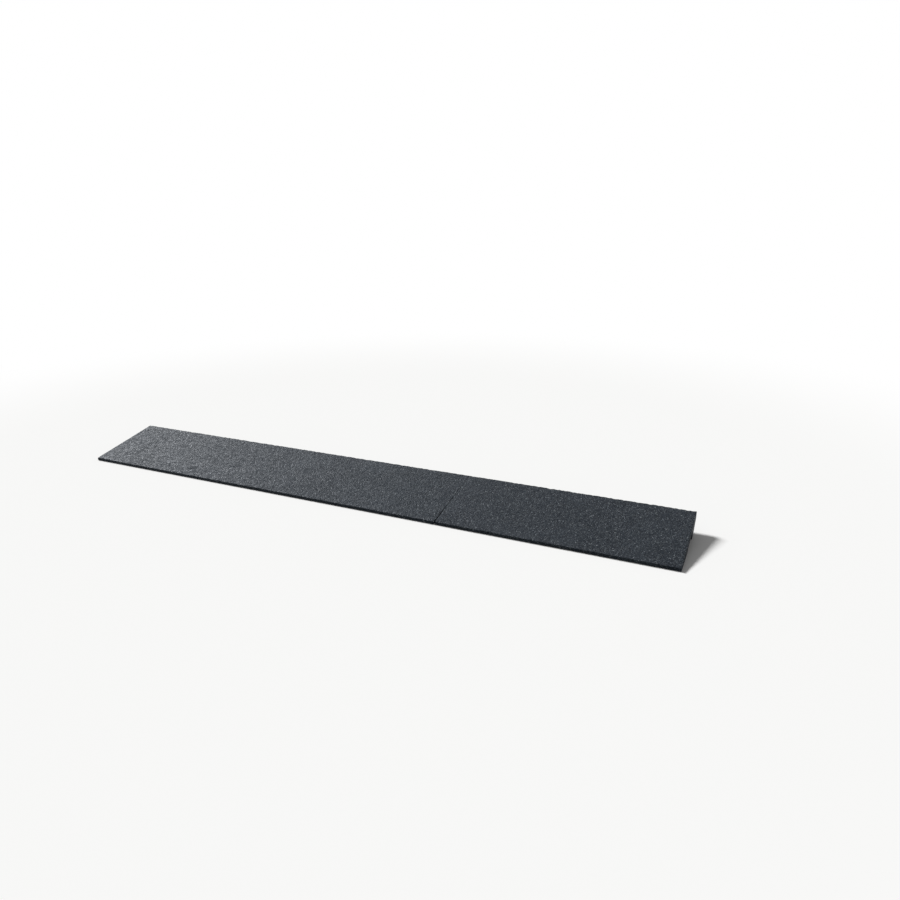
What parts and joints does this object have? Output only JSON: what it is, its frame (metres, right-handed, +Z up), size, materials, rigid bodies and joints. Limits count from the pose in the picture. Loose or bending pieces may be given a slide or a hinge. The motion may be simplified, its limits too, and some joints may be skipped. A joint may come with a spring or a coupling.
{
  "type": "rubber kerb ramp",
  "caption": "Long low wedge of crumb rubber laid against a rolled kerb for car wheels, in pinned sections, with a drain passage under the deck.",
  "frame": {"origin": "middle of the row's footprint, on the ground under the feet", "axes": "+X along the kerb, to the right seen from the road; +Y up the slope, from the lip to the kerb; +Z up"},
  "size_m": [3.659, 0.4568, 0.1032],
  "materials": {
    "crumb_rubber": "moulded granules, matte",
    "pin_steel": "zinc plated",
    "fibreglass": "pultruded"
  },
  "bodies": {
    "middle": {"section_middle": "crumb_rubber", "rod_middle_1": "fibreglass", "rod_middle_2": "fibreglass", "rod_middle_3": "fibreglass", "rod_middle_4": "fibreglass", "rod_middle_5": "fibreglass", "rod_middle_6": "fibreglass", "pin_left_front": "pin_steel", "pin_left_rear": "pin_steel", "pin_right_front": "pin_steel", "pin_right_rear": "pin_steel"},
    "left": {"section_left": "crumb_rubber", "rod_left_1": "fibreglass", "rod_left_2": "fibreglass", "rod_left_3": "fibreglass", "rod_left_4": "fibreglass", "rod_left_5": "fibreglass", "rod_left_6": "fibreglass"},
    "right": {"section_right": "crumb_rubber", "rod_right_1": "fibreglass", "rod_right_2": "fibreglass", "rod_right_3": "fibreglass", "rod_right_4": "fibreglass", "rod_right_5": "fibreglass", "rod_right_6": "fibreglass"}
  },
  "joints": [
    {"name": "left_pull_off", "type": "slide", "parent": "middle", "child": "left", "axis": [-1, 0, 0], "range_m": [0, 0.1]},
    {"name": "right_pull_off", "type": "slide", "parent": "middle", "child": "right", "axis": [1, 0, 0], "range_m": [0, 0.1]}
  ]
}
